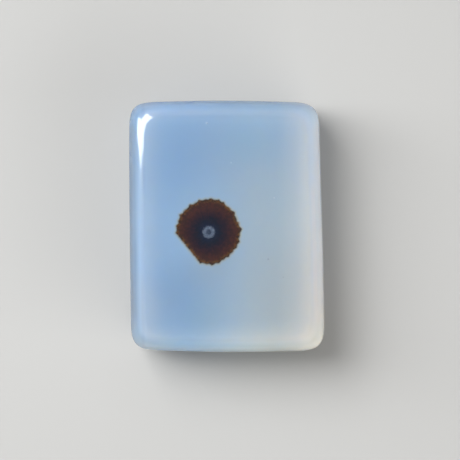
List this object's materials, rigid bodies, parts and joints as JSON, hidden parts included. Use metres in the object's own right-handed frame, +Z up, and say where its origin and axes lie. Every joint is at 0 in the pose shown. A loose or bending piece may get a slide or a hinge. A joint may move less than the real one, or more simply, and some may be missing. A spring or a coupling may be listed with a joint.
{
  "type": "dendritic agate specimen",
  "caption": "Polished oblong tablet of milky chalcedony with rolled edges, a crowned face holding a round brown dendrite, and a flat back to rest on.",
  "frame": {"origin": "middle of the flat back, on the surface the stone rests on", "axes": "+Z up out of the polished face, +Y along the tablet's length, +X across its width"},
  "size_m": [0.0142, 0.0182, 0.0055],
  "materials": {
    "chalcedony": "polished, milky and translucent, with one brown dendrite"
  },
  "bodies": {
    "root": {"agate_tablet": "chalcedony"}
  },
  "joints": []
}
